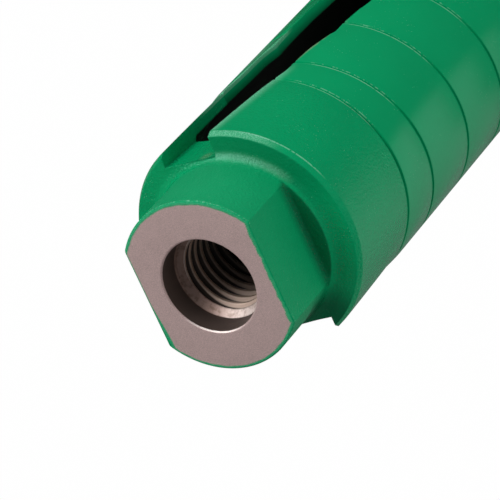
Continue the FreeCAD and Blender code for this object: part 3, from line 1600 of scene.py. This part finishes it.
@dataclass
class Segment:
    """One abrasive segment on the rim.

    Attributes:
        number: which segment it is.
        metal: what it is made of.
        outer: radius of its outer face.
        inner: radius of its inner face.
        arc: how far round it reaches, in degrees.
        edge: radius of its lower edges.
        steps: pieces in its length.
    """

    number: int
    metal: SegmentMetal
    outer: float = 21.0
    inner: float = 17.2
    arc: float = 66.0
    edge: float = 0.4
    steps: int = 40

    def build(self) -> bpy.types.Object:
        """Makes the segment's mesh, with grit standing a little proud.

        Returns:
            The dressed segment.
        """
        node = f"segment_{self.number}"
        low, high = node_span(node)
        outline = rounded([(self.inner, low.z, self.edge), (self.outer, low.z, self.edge),
                           (self.outer, high.z, 0.15), (self.inner, high.z, 0.15)], 4)
        middle = math.degrees(math.atan2(low.y + high.y, low.x + high.x))
        begin = Matrix.Rotation(math.radians(middle - self.arc / 2), 3, UP)
        bm = bmesh.new()
        loop = closed_loop(bm, [begin @ Vector((r, 0, z)) for r, z in outline])
        made = bmesh.ops.spin(bm, geom=loop, cent=(0, 0, 0), axis=UP,
                              angle=math.radians(self.arc), steps=self.steps)
        for end in (loop, made["geom_last"]):
            bmesh.ops.contextual_create(bm, geom=[e for e in end if isinstance(e, bmesh.types.BMEdge)])
        bmesh.ops.triangulate(bm, faces=bm.faces)
        for longest in (1.2, 0.7):
            long_edges = [e for e in bm.edges if e.calc_length() > longest * MM]
            bmesh.ops.subdivide_edges(bm, edges=long_edges, cuts=1, use_grid_fill=False)
            bmesh.ops.triangulate(bm, faces=bm.faces)
        bmesh.ops.recalc_face_normals(bm, faces=bm.faces)
        for vert in bm.verts:
            bite = max(0.0, noise.noise(vert.co * 900)) * 0.12 + max(0.0, noise.noise(vert.co * 2600)) * 0.06
            vert.co -= vert.normal * bite * MM
        piece = as_object(node + "_dressed", bm)
        shade(piece, Shading.ROUGH)
        seat(piece, node, self.material())
        return piece

    def material(self) -> bpy.types.Material:
        """Sintered metal with pale grit.

        Returns:
            The material that all segments share.
        """
        known = bpy.data.materials.get("segment_finish")
        if known:
            return known
        graph = Graph("segment_finish")
        at = graph.place()
        cloud = graph.noise(at, 1.6, 4.0)
        cells = graph.node("ShaderNodeTexVoronoi", inputs={"Vector": at.raw, "Scale": 1 / (0.55 * MM)})
        grains = 1 - Signal(graph, cells.outputs["Distance"]).rise(0.16, 0.24)
        matrix = graph.tint(self.metal.matrix, cloud * 0.9 + 0.55)
        colour = graph.blend(grains * 0.8, matrix, self.metal.grit)
        return graph.finish(graph.surface({
            "Base Color": colour, "Metallic": self.metal.metallic - grains * 0.5,
            "Roughness": self.metal.roughness - grains * 0.3,
            "Normal": graph.relief(grains * 0.6 + cloud * 0.5, 0.06, graph.soft_edges(0.12))}))


@dataclass(frozen=True)
class Lamp:
    """One soft square lamp.

    Attributes:
        name: name of the lamp.
        towards: its direction from the part, as right, up and back of the camera.
        width: its side in metres.
        power: its power in watts.
        gleams: whether it shows in glossy surfaces.
        distance: how far off it stands, in metres.
    """

    name: str
    towards: tuple[float, float, float]
    width: float
    power: float
    gleams: bool = True
    distance: float = 0.75

    def build(self, target: Vector, camera: bpy.types.Object) -> None:
        """Puts the lamp into the scene.

        Args:
            target: the point that it lights, in metres.
            camera: the camera whose directions are meant.
        """
        data = bpy.data.lights.new(self.name, "AREA")
        data.shape = "SQUARE"
        data.size = self.width
        data.energy = self.power
        made = bpy.data.objects.new(self.name, data)
        way = (camera.matrix_world.to_3x3() @ Vector(self.towards)).normalized()
        made.location = target + way * self.distance
        made.rotation_euler = way.to_track_quat("Z", "Y").to_euler()
        made.visible_glossy = self.gleams
        bpy.context.scene.collection.objects.link(made)


@dataclass
class Studio:
    """Floor, lamps and camera.

    Attributes:
        place: place of the camera in millimetres.
        turn: its turn in degrees.
        lens: its focal length in millimetres.
        sensor: width of its sensor in millimetres.
        floor_size: half the floor's width in metres.
        target: the point that the lamps light.
        chalk: colour of the floor.
        glow_turn: slant of the line between the floor's bright and dark reflection.
        glow_edge: half the width of that line.
        glow_end: X past which the reflection has its least brightness.
        glow_rise: how fast it grows brighter on the other side.
        glow_least: its least brightness.
        glow_reach: how far from the axis it reaches.
        glow_fade: width in which it fades out there.
        foot_shade: distances from the axis between which it fades in.
        back_shade: values of Y between which it fades in behind the part.
        dark_side: brightness of the dark side.
        white: colour of the background.
        grey: colour of the light from all round.
        lamps: the lamps.
    """

    place: tuple[float, float, float] = (-332.16, -184.05, 612.78)
    turn: tuple[float, float, float] = (-31.5905, 25.0007, 153.6471)
    lens: float = 270.0
    sensor: float = 36.0
    floor_size: float = 3.0
    target: tuple[float, float, float] = (0.0, 0.0, 145.0)
    chalk: Colour = (0.80, 0.80, 0.80, 1.0)
    glow_turn: float = 0.105
    glow_edge: float = 8.0
    glow_end: float = 20.0
    glow_rise: float = 3.2e-5
    glow_least: float = 0.20
    glow_reach: float = 300.0
    glow_fade: float = 150.0
    foot_shade: Point = (76.0, 92.0)
    back_shade: Point = (45.0, 75.0)
    dark_side: float = 0.02
    white: Colour = (1.0, 1.0, 1.0, 1.0)
    grey: Colour = (0.16, 0.16, 0.16, 1.0)
    lamps: tuple[Lamp, ...] = (
        Lamp("key", (-0.80, 0.40, 0.45), 0.50, 4.3),
        Lamp("top", (-0.56, 0.70, 0.42), 0.80, 1.4),
        Lamp("fill", (0.75, 0.30, 0.60), 0.50, 2.2, False),
        Lamp("side", (0.80, 0.00, 0.60), 0.50, 0.9, False),
        Lamp("low", (-0.60, -0.60, 0.50), 0.40, 1.4, False))

    def camera(self) -> bpy.types.Object:
        """The camera, at the photograph's viewing angle.

        Returns:
            The camera object.
        """
        data = bpy.data.cameras.new("camera")
        data.lens = self.lens
        data.sensor_width = self.sensor
        data.clip_start = 0.01
        data.clip_end = 20.0
        made = bpy.data.objects.new("camera", data)
        made.location = Vector(self.place) * MM
        made.rotation_euler = Euler([math.radians(a) for a in self.turn])
        bpy.context.scene.collection.objects.link(made)
        bpy.context.scene.camera = made
        bpy.context.view_layer.update()
        return made

    def floor(self) -> bpy.types.Object:
        """The pale floor, which keeps a soft shadow. Seen in reflections it glows as painted light: bright
        on one side, with painted shade near the part's foot and behind it.

        Returns:
            The floor object.
        """
        bm = bmesh.new()
        bmesh.ops.create_grid(bm, x_segments=1, y_segments=1, size=self.floor_size)
        made = as_object("floor", bm)
        graph = Graph("floor_finish")
        at = graph.place()
        path = graph.node("ShaderNodeLightPath")
        seen = Signal(graph, path.outputs["Is Camera Ray"])
        mirrored = Signal(graph, path.outputs["Is Glossy Ray"])
        mirrored = mirrored.most(Signal(graph, path.outputs["Is Transmission Ray"]))
        # Painted reflection for glossy rays: a bright side, with painted shade near the foot and behind the
        # part.
        lit_side = (at.y + at.x * self.glow_turn).rise(-self.glow_edge, self.glow_edge)
        lit_side = lit_side * (1 - at.r.rise(self.glow_reach, self.glow_reach + self.glow_fade))
        lit_side = lit_side * at.r.rise(*self.foot_shade).most(at.y.rise(*self.back_shade))
        near = (self.glow_end - at.x).most(0.0)
        sheen = (near * near * self.glow_rise + self.glow_least).least(0.8) * lit_side + self.dark_side
        glow = graph.blend(mirrored * (1 - seen), self.white, graph.tint(self.white, sheen))
        chalk = graph.node("ShaderNodeBsdfDiffuse", inputs={"Color": self.chalk})
        white = graph.node("ShaderNodeEmission", inputs={"Color": glow, "Strength": 1.0})
        graph.finish(graph.over(seen * 0.99 + mirrored, chalk.outputs[0], white.outputs[0]))
        made.data.materials.append(graph.material)
        return made

    def sky(self) -> None:
        """White to the camera, and soft grey light on the part."""
        world = bpy.data.worlds.new("studio")
        bpy.context.scene.world = world
        world.use_nodes = True
        tree = world.node_tree
        tree.nodes.clear()
        path = tree.nodes.new("ShaderNodeLightPath")
        shown = tree.nodes.new("ShaderNodeMix")
        shown.data_type = "RGBA"
        tree.links.new(path.outputs["Is Camera Ray"], shown.inputs[0])
        shown.inputs[6].default_value = self.grey
        shown.inputs[7].default_value = self.white
        glow = tree.nodes.new("ShaderNodeBackground")
        tree.links.new(shown.outputs[2], glow.inputs["Color"])
        out = tree.nodes.new("ShaderNodeOutputWorld")
        tree.links.new(glow.outputs[0], out.inputs["Surface"])

    def build(self) -> None:
        """Sets up the whole studio."""
        bpy.context.scene.view_settings.view_transform = "Standard"
        camera = self.camera()
        self.floor()
        self.sky()
        for lamp in self.lamps:
            lamp.build(Vector(self.target) * MM, camera)


def main() -> None:
    """Builds the pieces in order and notes the size of the result."""
    logging.basicConfig(level=logging.INFO, format="%(name)s: %(message)s")
    paint = GreenPaint()
    hub = Hub(replace(paint, peel=0.42, peel_depth=0.16), BareSteel())
    hub.build()
    Barrel(paint, hub.shoulder).build()
    for number in range(1, 5):
        Segment(number, SegmentMetal()).build()
    Studio().build()


if __name__ == "__main__":
    main()
